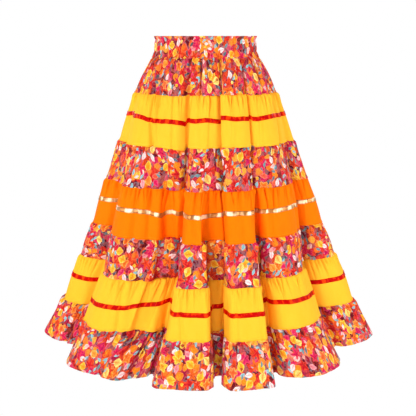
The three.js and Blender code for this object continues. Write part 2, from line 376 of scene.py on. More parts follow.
# the print's colours
rose, maroon, scarlet, ember = (206, 88, 104), (104, 18, 34), (218, 30, 36), (232, 68, 28)
coral, pumpkin, apricot, gold = (244, 104, 56), (248, 116, 30), (252, 160, 66), (252, 196, 38)
straw, fuchsia, berry, blush = (255, 232, 128), (222, 30, 100), (170, 20, 70), (242, 160, 164)
cream, petal, clay, umber = (255, 238, 232), (252, 208, 194), (156, 84, 90), (72, 28, 38)
slate, teal, aqua, heather = (100, 104, 116), (104, 142, 146), (152, 206, 214), (128, 104, 116)
mallow, bark, madder = (150, 118, 128), (176, 92, 36), (224, 112, 128)
printCloth = {
    "dye": 0.88,  # how light the whole print is
    "groundScale": 90.0,
    "groundSpread": (0.38, 0.62),
    "brushScale": 150.0,  # the brush strokes on every leaf, lighter and darker
    "brushLight": (0.5, 0.68),
    "brushDark": (0.48, 0.32),
    "brushAmounts": (0.25, 0.3),
    "edgeScale": 460.0,
    "edgeWander": 0.0026,
    "layerTurn": 0.7,  # each layer is turned and moved on from the one before, so that none lines up
    "layerStart": (0.31, 0.17),
    "layerStep": (1.27, 0.83),
    "ground": [(2, clay), (1, umber), (2, heather), (1, maroon)],
    "leaves": [  # from the back to the front, in metres
        {"kind": "oval", "spacing": 0.0235, "size": (0.0180, 0.0125), "coverage": 0.88,
         "colours": [(3, rose), (3, clay), (4, scarlet), (2, maroon), (2, berry), (2, ember), (1, mallow)],
         "vein": (umber, 0.4), "rim": (coral, 0.2), "heart": (coral, 0.25)},
        {"kind": "lobed", "spacing": 0.0310, "size": (0.0205, 5, 0.42), "teeth": 0.05, "coverage": 0.85,
         "colours": [(4, scarlet), (3, ember), (2, berry), (4, fuchsia), (3, maroon)],
         "vein": (maroon, 0.6), "rim": (coral, 0.35), "heart": (maroon, 0.25)},
        {"kind": "lobed", "spacing": 0.0280, "size": (0.0150, 4, 0.2), "teeth": 0.04, "coverage": 0.62,
         "colours": [(5, pumpkin), (3, coral), (2, apricot), (2, scarlet), (1, rose)],
         "vein": (ember, 0.6), "rim": (apricot, 0.4), "heart": (gold, 0.4)},
        {"kind": "oval", "spacing": 0.0220, "size": (0.0100, 0.0040), "coverage": 0.5,
         "colours": [(3, teal), (2, slate), (3, aqua), (2, umber)],
         "vein": (slate, 0.5), "rim": (aqua, 0.3), "heart": (slate, 0.2)},
        {"kind": "oval", "spacing": 0.0285, "size": (0.0140, 0.0074), "coverage": 0.5,
         "colours": [(3, rose), (4, fuchsia), (1, blush), (3, scarlet), (1, coral), (2, maroon)],
         "vein": (berry, 0.45), "rim": (blush, 0.35), "heart": (scarlet, 0.35)},
        {"kind": "oval", "spacing": 0.0440, "size": (0.0135, 0.0068), "coverage": 0.56,
         "colours": [(4, cream), (2, petal), (1, blush)],
         "vein": (madder, 0.8), "rim": (cream, 0.4), "heart": (blush, 0.3)},
        {"kind": "lobed", "spacing": 0.0440, "size": (0.0215, 5, 0.6), "teeth": 0.07, "coverage": 0.62,
         "colours": [(3, ember), (2, pumpkin), (3, fuchsia), (4, scarlet)],
         "vein": (maroon, 0.6), "rim": (coral, 0.4), "heart": (scarlet, 0.4)},
        {"kind": "lobed", "spacing": 0.0560, "size": (0.0180, 5, 0.36), "teeth": 0.08, "coverage": 0.46,
         "colours": [(3, gold), (3, pumpkin), (1, coral)],
         "vein": (bark, 0.7), "rim": (straw, 0.35), "heart": (ember, 0.55)},
        {"kind": "oval", "spacing": 0.0450, "size": (0.0150, 0.0108), "coverage": 0.58,
         "colours": [(5, gold), (2, apricot), (2, straw)],
         "vein": (pumpkin, 0.7), "rim": (straw, 0.6), "heart": (pumpkin, 0.5)},
        {"kind": "lobed", "spacing": 0.0270, "size": (0.0062, 4, 0.3), "teeth": 0.05, "coverage": 0.28,
         "colours": [(3, gold), (2, coral), (3, straw), (2, maroon), (1, blush)],
         "vein": (ember, 0.4), "rim": (straw, 0.3), "heart": (pumpkin, 0.4)},
        {"kind": "oval", "spacing": 0.0310, "size": (0.0088, 0.0034), "coverage": 0.34,
         "colours": [(3, aqua), (2, teal), (1, cream)],
         "vein": (teal, 0.4), "rim": (aqua, 0.2), "heart": (teal, 0.3)},
    ],
}


def makeLeafPrint(scatter, ovalLeaf, lobedLeaf):
    tree, entry, leave = newGroup(
        "leafPrint", [("Cloth", "NodeSocketVector", None)], [("Color", "NodeSocketColor")]
    )
    patch = noiseNode(tree, entry["Cloth"], printCloth["groundScale"], detail=1.0)
    colour = paletteNode(tree, rangeNode(tree, patch, *printCloth["groundSpread"]), printCloth["ground"])
    brush = noiseNode(tree, entry["Cloth"], printCloth["brushScale"], detail=3.0, roughness=0.6)
    lighter = rangeNode(tree, brush, *printCloth["brushLight"])
    darker = rangeNode(tree, brush, *printCloth["brushDark"])
    lighterAmount, darkerAmount = printCloth["brushAmounts"]
    edge = noiseNode(tree, entry["Cloth"], printCloth["edgeScale"], output=1)
    edge = vectorNode(tree, "SUBTRACT", edge, (0.5, 0.5, 0.5))
    edge = scaleVector(tree, edge, printCloth["edgeWander"])
    drawn = vectorNode(tree, "ADD", entry["Cloth"], edge)  # hand-painted edges wander a little
    for number, leaf in enumerate(printCloth["leaves"]):
        turned = tree.nodes.new("ShaderNodeVectorRotate")
        turned.rotation_type = "Z_AXIS"
        turned.inputs["Angle"].default_value = printCloth["layerTurn"] * number
        setSocket(tree, turned.inputs["Vector"], drawn)
        (startX, startY), (stepX, stepY) = printCloth["layerStart"], printCloth["layerStep"]
        shift = (startX + stepX * number, startY + stepY * number, 0.0)
        found = useGroup(tree, scatter, Cloth=turned.outputs[0], Spacing=leaf["spacing"], Shift=shift)
        if leaf["kind"] == "oval":
            names = ("Half Length", "Half Width")
            shape = useGroup(tree, ovalLeaf, Local=found["Local"], **dict(zip(names, leaf["size"])))
        else:
            names = ("Radius", "Lobes", "Lobe Depth", "Teeth")
            facts = dict(zip(names, (*leaf["size"], leaf["teeth"])))
            shape = useGroup(tree, lobedLeaf, Local=found["Local"], **facts)
        leafColour = paletteNode(tree, found["Pick"], leaf["colours"])
        heartColour, heartAmount = leaf["heart"]
        rimColour, rimAmount = leaf["rim"]
        veinColour, veinAmount = leaf["vein"]
        for share, amount, part in (
            (shape["Heart"], heartAmount, heartColour),
            (shape["Rim"], rimAmount, rimColour),
            (lighter, lighterAmount, rimColour),
            (darker, darkerAmount, veinColour),
            (shape["Vein"], veinAmount, veinColour),
        ):
            leafColour = mixColor(tree, mathNode(tree, "MULTIPLY", share, amount), leafColour, paint(*part))
        shown = mathNode(tree, "LESS_THAN", found["Chance"], leaf["coverage"])
        colour = mixColor(tree, mathNode(tree, "MULTIPLY", shape["Mask"], shown), colour, leafColour)
    setSocket(tree, leave["Color"], scaleVector(tree, colour, printCloth["dye"]))
    return tree


weaveShape = {  # scales along and up the cloth, heights in metres
    "slubScale": (60.0, 1400.0, 0.0),
    "slubHeight": 0.00003,
    "rumpleScale": (55.0, 26.0, 0.0),
    "rumpleRoughness": 0.55,
    "tones": (0.6, 1.4),
}


# the height of a plain weave with slubs and soft rumples, in metres, and a faint change of tone
def makeClothWeave():
    tree, entry, leave = newGroup(
        "clothWeave",
        [
            ("Cloth", "NodeSocketVector", None),
            ("Thread", "NodeSocketFloat", 0.0006),
            ("Thread Height", "NodeSocketFloat", 0.00005),
            ("Rumple Height", "NodeSocketFloat", 0.0006),
        ],
        [("Height", "NodeSocketFloat"), ("Tone", "NodeSocketFloat")],
    )
    place = splitVector(tree, entry["Cloth"])
    step = mathNode(tree, "DIVIDE", 2 * math.pi, entry["Thread"])
    warp = mathNode(tree, "SINE", mathNode(tree, "MULTIPLY", place[0], step))
    weft = mathNode(tree, "SINE", mathNode(tree, "MULTIPLY", place[1], step))
    weave = mathNode(tree, "MULTIPLY", mathNode(tree, "MULTIPLY", warp, weft), entry["Thread Height"])
    slubs = noiseNode(tree, vectorNode(tree, "MULTIPLY", entry["Cloth"], weaveShape["slubScale"]), 1.0)
    spread = vectorNode(tree, "MULTIPLY", entry["Cloth"], weaveShape["rumpleScale"])
    rumple = noiseNode(tree, spread, 1.0, detail=3.0, roughness=weaveShape["rumpleRoughness"])
    height = mathNode(tree, "MULTIPLY_ADD", rumple, entry["Rumple Height"], weave)
    height = mathNode(tree, "MULTIPLY_ADD", slubs, weaveShape["slubHeight"], height)
    setSocket(tree, leave["Height"], height)
    tone = mathNode(tree, "ADD", slubs, rumple)
    setSocket(tree, leave["Tone"], rangeNode(tree, tone, *weaveShape["tones"]))
    return tree


stitchShape = {
    "threadEdge": (0.7, 1.0),  # in thread widths
    "stitchEnd": (0.08, 0.16),  # in stitches
    "threadHeight": 0.00025,
    "pullReach": 0.0024,
}


def makeStitchRow():  # a row of machine stitches a given way up the cloth, and the groove it pulls
    tree, entry, leave = newGroup(
        "stitchRow",
        [
            ("Cloth", "NodeSocketVector", None),
            ("Row", "NodeSocketFloat", 0.005),
            ("Stitch", "NodeSocketFloat", 0.0032),
            ("Thread", "NodeSocketFloat", 0.0004),
            ("Groove", "NodeSocketFloat", 0.0004),
        ],
        [("Mask", "NodeSocketFloat"), ("Height", "NodeSocketFloat")],
    )
    place = splitVector(tree, entry["Cloth"])
    away = mathNode(tree, "ABSOLUTE", mathNode(tree, "SUBTRACT", place[1], entry["Row"]))
    threads = mathNode(tree, "DIVIDE", away, entry["Thread"])
    narrow = rangeNode(tree, threads, *stitchShape["threadEdge"], 1.0, 0.0)
    share = mathNode(tree, "FRACT", mathNode(tree, "DIVIDE", place[0], entry["Stitch"]))
    dash = rangeNode(tree, mathNode(tree, "PINGPONG", share, 0.5), *stitchShape["stitchEnd"])
    mask = mathNode(tree, "MULTIPLY", narrow, dash)
    pull = rangeNode(tree, away, 0.0, stitchShape["pullReach"], 1.0, 0.0)
    raised = mathNode(tree, "MULTIPLY", mask, stitchShape["threadHeight"])
    sunk = mathNode(tree, "MULTIPLY", pull, entry["Groove"])
    setSocket(tree, leave["Mask"], mask)
    setSocket(tree, leave["Height"], mathNode(tree, "SUBTRACT", raised, sunk))
    return tree


leafScatter = makeLeafScatter()
leafPrint = makeLeafPrint(leafScatter, makeOvalLeaf(), makeLobedLeaf())
clothWeave = makeClothWeave()
stitchRow = makeStitchRow()
print("node groups ready")


# the materials
def startMaterial(name):
    material = bpy.data.materials.new(name)
    material.use_nodes = True
    tree = material.node_tree
    shader = tree.nodes["Principled BSDF"]
    place = tree.nodes.new("ShaderNodeUVMap")
    place.uv_map = "cloth"
    return material, tree, shader, place.outputs[0]


def bumpNode(tree, height):
    node = tree.nodes.new("ShaderNodeBump")
    node.inputs["Strength"].default_value = 1.0
    node.inputs["Distance"].default_value = 1.0
    setSocket(tree, node.inputs["Height"], height)
    return node.outputs[0]


cottonFinish = {
    "leafPrint": {"roughness": 0.85, "rumple": 0.0005, "thread": (196, 60, 70)},
    "leafPrintReverse": {"roughness": 0.9, "rumple": 0.0005, "thread": (196, 60, 70), "fade": 0.5},
    "yellowCotton": {
        "roughness": 0.85, "rumple": 0.0008, "thread": (250, 206, 70),
        "colour": (250, 179, 46), "deep": (249, 175, 40),
    },
    "orangeCotton": {
        "roughness": 0.85, "rumple": 0.0008, "thread": (250, 140, 30),
        "colour": (250, 115, 0), "deep": (249, 110, 0),
    },
}
cottonWear = {
    "shine": 0.06,
    "shade": (60, 24, 30),  # what the weave's darker threads add to the print
    "shadeAmount": 0.05,
    "faded": (232, 206, 198),
    "stitchAmount": 0.7,
}


def makeCotton(name):
    finish = cottonFinish[name]
    material, tree, shader, cloth = startMaterial(name)
    weave = useGroup(tree, clothWeave, Cloth=cloth, **{"Rumple Height": finish["rumple"]})
    stitches = useGroup(tree, stitchRow, Cloth=cloth)
    if "colour" in finish:
        colour = mixColor(tree, weave["Tone"], paint(*finish["deep"]), paint(*finish["colour"]))
    else:
        colour = useGroup(tree, leafPrint, Cloth=cloth)["Color"]
        shaded = mathNode(tree, "MULTIPLY", weave["Tone"], cottonWear["shadeAmount"])
        colour = mixColor(tree, shaded, colour, paint(*cottonWear["shade"]))
    if "fade" in finish:
        colour = mixColor(tree, finish["fade"], colour, paint(*cottonWear["faded"]))
    sewn = mathNode(tree, "MULTIPLY", stitches["Mask"], cottonWear["stitchAmount"])
    setSocket(tree, shader.inputs["Base Color"], mixColor(tree, sewn, colour, paint(*finish["thread"])))
    shader.inputs["Roughness"].default_value = finish["roughness"]
    shader.inputs["Specular IOR Level"].default_value = cottonWear["shine"]
    height = mathNode(tree, "ADD", weave["Height"], stitches["Height"])
    setSocket(tree, shader.inputs["Normal"], bumpNode(tree, height))
    return material


# in each ribbon 'colour' is a painted highlight and 'deep' is the ribbon's own colour; noise patches between
# them paint the satin's glints along its length
ribbonFinish = {
    "redSatin": {
        "colour": (238, 60, 2), "deep": (180, 0, 0), "paintedHighlight": (0.48, 0.66),
        "patches": (60.0, 40.0, 0.0), "rib": 0.0007,
        "roughness": (0.34, 0.52), "metallic": 0.0, "shine": 0.04,
    },
    "goldRibbon": {
        "colour": (252, 224, 180), "deep": (176, 108, 46), "paintedHighlight": (0.44, 0.62),
        "patches": (34.0, 14.0, 0.0), "rib": 0.0012,
        "roughness": (0.30, 0.48), "metallic": 0.45, "shine": 0.4,
    },
}
ribbonWear = {
    "edge": (0.0042, 0.005),  # how far from its middle the ribbon darkens, in metres
    "edgeAmount": 0.5,
    "roughPatches": (0.3, 0.7),
    "patchHeight": 0.0006,
    "ribHeight": 0.00002,
}


def makeRibbon(name):
    finish = ribbonFinish[name]
    material, tree, shader, cloth = startMaterial(name)
    place = splitVector(tree, cloth)
    ribs = mathNode(tree, "SINE", mathNode(tree, "MULTIPLY", place[0], 2 * math.pi / finish["rib"]))
    patch = noiseNode(tree, vectorNode(tree, "MULTIPLY", cloth, finish["patches"]), 1.0)
    # painted highlight: where the patch noise is high the ribbon is lightened towards its highlight colour,
    # in place of glints
    tone = rangeNode(tree, patch, *finish["paintedHighlight"])
    edge = rangeNode(tree, mathNode(tree, "ABSOLUTE", place[1]), *ribbonWear["edge"])
    edge = mathNode(tree, "MULTIPLY", edge, ribbonWear["edgeAmount"])
    colour = mixColor(tree, tone, paint(*finish["deep"]), paint(*finish["colour"]))
    setSocket(tree, shader.inputs["Base Color"], mixColor(tree, edge, colour, paint(*finish["deep"])))
    dulled = rangeNode(tree, patch, *ribbonWear["roughPatches"], *finish["roughness"])
    setSocket(tree, shader.inputs["Roughness"], dulled)
    shader.inputs["Metallic"].default_value = finish["metallic"]
    shader.inputs["Specular IOR Level"].default_value = finish["shine"]
    ribs = mathNode(tree, "MULTIPLY", ribs, ribbonWear["ribHeight"])
    height = mathNode(tree, "MULTIPLY_ADD", patch, ribbonWear["patchHeight"], ribs)
    setSocket(tree, shader.inputs["Normal"], bumpNode(tree, height))
    return material


materials = {name: makeCotton(name) for name in cottonFinish}
materials |= {name: makeRibbon(name) for name in ribbonFinish}
print("materials ready")

# the form that the skirt has when worn, in millimetres
skirtForm = {
    "rings": [  # height, half width, front reach, back reach, set back, fold depth
        (27, 137, 102, 103, 0, 1),  # waistband top
        (-28, 143, 110, 112, 2, 4),  # waistband foot
        (-121, 190, 146, 150, 12, 9),  # then the foot of each tier
        (-250, 239, 190, 195, 18, 15),
        (-354, 277, 223, 228, 24, 27),
        (-480, 321, 263, 268, 32, 52),
        (-582, 361, 300, 304, 44, 82),
        (-706, 411, 340, 344, 50, 92),
        (-815, 468, 382, 386, 55, 102),
    ],
    "waistBreadth": 1.3,
    # angles at the waist, half-way down and at the hem; shares of the fold depth at each; breadth at the hem
    "turns": [
        ((-88, -90, -93), (0, 0, 0), 1.2),  # left side crest
        ((-80, -70, -70), (1, 1, 1), 0.8),
        ((-60, -43, -50), (0, 0.12, 0.13), 1.4),
        ((-45, -26, -38), (1.1, 0.65, 0.2), 1),
        ((-31, -19, -31), (-1.5, 1, 0.15), 1),
        ((-16, -12, -20), (1, 1.2, 0.85), 0.3),
        ((-4, -3, -8), (0, 0, 0.1), 3),
        ((8, 5, 5), (0.8, 1, 1), 1.2),
        ((23, 15, 16), (0, 0, 0), 3),
        ((39, 30, 26), (1, 1.2, 0.85), 0.3),
        ((55, 42, 43), (0, 0.5, 0.2), 2.3),
        ((80, 70, 68), (1, 1, 0.95), 0.8),
        ((88, 87, 87), (0, -0.1, -0.09), 1.2),  # right side crest
        ((112, 117, 119), (0.9, 1, 0.9), 0.6),
        ((127, 131, 135), (0, 0.1, 0.1), 2.6),
        ((143, 147, 149), (1.1, 0.9, 0.8), 0.3),
        ((158, 161, 163), (0, 0, 0.05), 3),
        ((172, 175, 177), (0.9, 1, 0.95), 0.3),
        ((188, 189, 191), (0, 0.1, 0), 2.8),
        ((202, 203, 206), (1.1, 0.8, 0.75), 0.3),
        ((219, 218, 220), (0, 0, 0.12), 2.5),
        ((238, 235, 235), (0.9, 1, 0.95), 0.7),
    ],
    "angleChanges": {  # for a turn, by how far down: degrees added
        5: ((0.3, 0.5, 0.8, 1.0), (0.0, -1.5, -1.5, 0.0)),
        8: ((0.6, 0.75, 1.0), (0.0, -0.6, -0.6)),
        9: ((0.8, 1.0), (0.0, -1.2)),
    },
    "breadthChanges": {
        7: ((0.25, 0.4, 0.7, 0.8, 1.0), (0.0, 1.3, 1.2, 0.6, -1.3)),
    },
    "rightSeamTurn": 12,
    "crispFrom": 0.28,
    "crispReach": 0.35,
    "crispWall": 0.5,
    "crispTurns": (5, 8),
    # a side of the middle recess: the share of its turn that it takes up, which end of it is in front, and
    # how far to the right its front edge stands at the edge heights
    "recessSides": {
        6: {"span": (0.36, 0.64), "frontEnd": 0, "edge": (21, 20, 14, 12, 6, -5, -12)},
        7: {"span": (0.30, 0.50), "frontEnd": 1, "edge": (45, 49, 54, 53, 54, 55, 46)},
    },
    "edgeHeights": (-815, -760, -706, -640, -582, -480, -354),
    "recessWall": 0.72,
    "undercut": 5.0,  # how far the deeper part of a side hides behind its front edge
    "cornerBreadth": 0.6,
}
ringSizes = np.array(skirtForm["rings"], float)
turnAngles = np.array([angles for angles, _, _ in skirtForm["turns"]], float)
turnShares = np.array([shares for _, shares, _ in skirtForm["turns"]], float)
turnBreadths = np.array([breadth for _, _, breadth in skirtForm["turns"]], float)
turnCount = len(turnBreadths)
millimetre = 0.001


def smoothStep(share):
    return share * share * (3 - 2 * share)


def ringBetween(index, share):
    ring = ringSizes[index] * (1 - share) + ringSizes[index + 1] * share
    foot, hem = ringSizes[1, 0], ringSizes[-1, 0]
    return ring, max(0.0, (foot - ring[0]) / (foot - hem))


def easedBetween(share, firstBreadth, secondBreadth):  # from 0 to 1, slow or fast at either end
    slowed = firstBreadth * share * (1 - share) ** 2 - secondBreadth * share**2 * (1 - share)
    return slowed + smoothStep(share)


# the angles of a steep side that hides behind its front edge
def recessAngles(turn, share, ring, angles, breadths, insets):
    height, halfWidth, front, _, setBack, _ = ring
    side = skirtForm["recessSides"][turn]
    low, high = side["span"]
    edge = np.interp(height, skirtForm["edgeHeights"], side["edge"])
    corners = []
    for end in (0, 1):
        hidden = 0.0 if end == side["frontEnd"] else (1 - 2 * end) * skirtForm["undercut"]
        inset = insets[turn + end]
        corners.append(math.asin((edge + hidden) / (halfWidth - inset * (front + setBack) / halfWidth)))
    start, end = np.radians(angles[turn]), np.radians(angles[turn + 1])
    corner = skirtForm["cornerBreadth"]
    angle = start + (corners[0] - start) * easedBetween(np.clip(share / low, 0, 1), breadths[turn], corner)
    angle += (corners[1] - corners[0]) * np.clip((share - low) / (high - low), 0, 1)
    past = np.clip((share - high) / (1 - high), 0, 1)
    return angle + (end - corners[1]) * easedBetween(past, corner, breadths[turn + 1])


def ringLine(ring, down, laps):  # laps counts the fold turns passed since the left side seam
    weights = np.array([(1 - down) * (1 - 2 * down), 4 * down * (1 - down), down * (2 * down - 1)])
    height, halfWidth, front, back, setBack, foldDepth = ring
    number = np.floor(laps).astype(int)
    share = laps - number
    first, second = number % turnCount, (number + 1) % turnCount
    angles, insets = turnAngles @ weights, foldDepth * (turnShares @ weights)
    breadths = skirtForm["waistBreadth"] * (1 - math.sqrt(down)) + turnBreadths * math.sqrt(down)
    for values, changes in ((angles, skirtForm["angleChanges"]), (breadths, skirtForm["breadthChanges"])):
        for turn, (levels, amounts) in changes.items():
            values[turn] += np.interp(down, levels, amounts)
    start = angles[first] + 360 * (number // turnCount)
    end = angles[second] + 360 * ((number + 1) // turnCount)
    angle = np.radians(start + (end - start) * easedBetween(share, breadths[first], breadths[second]))
    crisp = smoothStep(min(1.0, max(0.0, (down - skirtForm["crispFrom"]) / skirtForm["crispReach"])))
    # lower down, the sides of the folds at the middle are steeper and their floors flat
    steep = 1 - (1 - skirtForm["crispWall"]) * crisp * np.isin(first, skirtForm["crispTurns"])
    for turn in skirtForm["recessSides"]:
        here = first == turn
        steep[here] = 1 - (1 - skirtForm["recessWall"]) * crisp
        hidden = recessAngles(turn, share[here], ring, angles, breadths, insets)
        angle[here] += (hidden - angle[here]) * crisp
    inward = smoothStep(np.clip((share - 0.5) / steep + 0.5, 0, 1))
    inset = insets[first] + (insets[second] - insets[first]) * inward
    reach = np.where(np.cos(angle) > 0, front + setBack, back - setBack)
    across, forward = np.sin(angle) / halfWidth, np.cos(angle) / reach
    length = np.hypot(across, forward)
    x = halfWidth * np.sin(angle) - inset * across / length
    y = setBack - reach * np.cos(angle) + inset * forward / length
    return np.stack([x, y, np.full_like(x, height)], axis=-1)


def levelNormals(line):
    ahead, behind = np.roll(line, -1, axis=0), np.roll(line, 1, axis=0)
    normals = np.stack([ahead[:, 1] - behind[:, 1], behind[:, 0] - ahead[:, 0]], axis=-1)
    return normals / np.linalg.norm(normals, axis=1, keepdims=True)


def ringDistances(line):  # how far along the ring each point lies, and the whole way round
    steps = np.linalg.norm(np.roll(line, -1, axis=0) - line, axis=1)
    return np.concatenate([[0], np.cumsum(steps)[:-1]]), steps.sum()


crowding = {
    "samples": 60,  # for each fold turn, to measure along the ring by
    "reach": 7.0,
    "extra": 1.3,
}


# columns, closer together near creases, with the right side seam on one of them
def crowdedLaps(ring, down, step, crowds):
    dense = np.linspace(0, turnCount, turnCount * crowding["samples"], endpoint=False)
    distance, whole = ringDistances(ringLine(ring, down, dense))
    dense, distance = np.append(dense, turnCount), np.append(distance, whole)
    pace = np.ones(len(dense))
    for start, end in crowds:
        first, last = np.interp([start, end], dense, distance)
        beyond = np.maximum(0, np.maximum(first - distance, distance - last))
        pace = np.maximum(pace, 1 + crowding["extra"] * np.exp(-((beyond / crowding["reach"]) ** 2)))
    worked = np.concatenate([[0], np.cumsum((pace[1:] + pace[:-1]) / 2 * np.diff(distance))])
    seamWork = np.interp(skirtForm["rightSeamTurn"], dense, worked)
    frontCount = round(seamWork / step)
    backCount = round((worked[-1] - seamWork) / step)
    frontStops = np.linspace(0, seamWork, frontCount, endpoint=False)
    stops = np.concatenate([frontStops, np.linspace(seamWork, worked[-1], backCount, endpoint=False)])
    between = (stops + np.append(stops[1:], worked[-1])) / 2
    stops = np.stack([stops, between], axis=1).ravel()
    return np.interp(stops, worked, dense), np.interp(stops, worked, distance), whole, 2 * frontCount


ridgeShape = {  # lengths in millimetres; a pair is a range to draw from
    "fewest": 8,
    "steps": (0.5, 1.5),  # in spacings
    "narrowest": 0.5,
    "leans": (-0.2, 0.2),  # sideways for each millimetre down
    "leanReach": 40.0,
    "heights": (0.35, 1.25),
    "lengths": (0.45, 1.5),
    "roundness": 0.65,
    "fade": 1.6,
    "sunk": 0.5,  # how far the whole cloth goes in, so that the ridges don't push it out
    "pinches": (-0.3, 1.2),  # none below 0
    "pinchWidth": 1.9,
}


# uneven ridges round the whole tier, with a pinch in the cloth between each two
def ridgePattern(whole, spacing, seed):
    random = np.random.default_rng(seed)
    steps = random.uniform(*ridgeShape["steps"], max(ridgeShape["fewest"], round(whole / spacing)))
    starts = np.concatenate([[0], np.cumsum(steps)])
    starts *= whole / starts[-1]
    count = len(steps)
    leans = random.uniform(*ridgeShape["leans"], count)
    pinches = random.uniform(*ridgeShape["pinches"], count)
    return {
        "starts": starts,
        "leans": np.append(leans, leans[0]),
        "heights": random.uniform(*ridgeShape["heights"], count),
        "lengths": random.uniform(*ridgeShape["lengths"], count),
        "pinches": np.maximum(0, np.append(pinches, pinches[0])),
    }


# how far out the ridges stand at some places along the cloth, at one depth below the seam
def ridgeHeights(pattern, places, depth, reach, pinch=0.0):
    starts, lengths = pattern["starts"], pattern["lengths"]
    whole = starts[-1]
    starts = np.maximum.accumulate(starts + pattern["leans"] * min(depth, ridgeShape["leanReach"]))
    places = (places - starts[0]) % whole
    starts = starts - starts[0]
    index = np.clip(np.searchsorted(starts, places, side="right") - 1, 0, len(lengths) - 1)
    since, until = places - starts[index], starts[index + 1] - places
    share = since / np.maximum(since + until, ridgeShape["narrowest"])
    rounded = pattern["heights"][index] * np.sin(np.pi * np.clip(share, 0, 1)) ** ridgeShape["roundness"]
    fades = np.exp(-((depth / (reach * lengths)) ** ridgeShape["fade"]))
    sunk = ridgeShape["sunk"] * math.exp(-((depth / reach) ** ridgeShape["fade"]))
    heights = rounded * fades[index] - sunk
    if pinch:
        held = pattern["pinches"] * np.append(fades, fades[0])
        near = held[index] * dent(since, ridgeShape["pinchWidth"])
        far = held[index + 1] * dent(until, ridgeShape["pinchWidth"])
        heights -= pinch * np.maximum(near, far)
    return heights


liftBlend = 0.12  # how wide the step at a lift spot's turn is, in fold turns
# where panels hang at uneven heights: the fold turn, the height and its reach up and down, then the lift
# just left and just right of the turn, each with its reach in turns
liftSpots = [
    (0.0, -582, 75, 9.0, 1.0, 9.0, 1.0), (1.4, -190, 90, 1.5, 0.5, -2.5, 0.5),
    (2.1, -695, 80, -6.0, 0.6, -6.0, 0.8), (4.93, -235, 110, -7.5, 1.3, 0.0, 0.5),
    (7.42, -190, 100, -2.0, 0.4, 3.5, 1.0), (9.1, -190, 90, 2.5, 0.5, -2.0, 0.6),
    (12.0, -582, 75, 10.0, 1.0, 10.0, 1.0), (13.1, -300, 140, -3.0, 0.6, 2.5, 0.6),
    (15.0, -260, 130, 2.5, 0.6, -2.0, 0.5), (0.0, -830, 60, 6.0, 0.3, 6.0, 0.3),
    (0.6, -815, 60, -3.0, 0.3, -3.0, 0.2), (12.0, -830, 60, 6.0, 0.3, 6.0, 0.3),
    (11.35, -815, 60, -5.0, 0.2, -5.0, 0.3), (10.1, -815, 60, -5.0, 0.6, -5.0, 0.4),
    (17.1, -240, 110, -4.0, 0.9, 2.0, 0.5), (19.0, -260, 130, 2.5, 0.5, -2.5, 0.7),
    (21.0, -300, 140, -2.0, 0.5, 3.0, 0.6),
]


def panelLift(laps, height):
    lift = np.zeros(len(laps))
    for turn, middle, reach, left, leftReach, right, rightReach in liftSpots:
        away = (laps - turn + turnCount / 2) % turnCount - turnCount / 2
        blend = smoothStep(np.clip(away / liftBlend + 0.5, 0, 1))
        near = np.exp(-((away / np.where(away < 0, leftReach, rightReach)) ** 2))
        lift += (left + (right - left) * blend) * near * math.exp(-(((height - middle) / reach) ** 2))
    return lift


def dent(distance, width):  # a soft trough, 1 deep
    return np.exp(-((distance / width) ** 2))


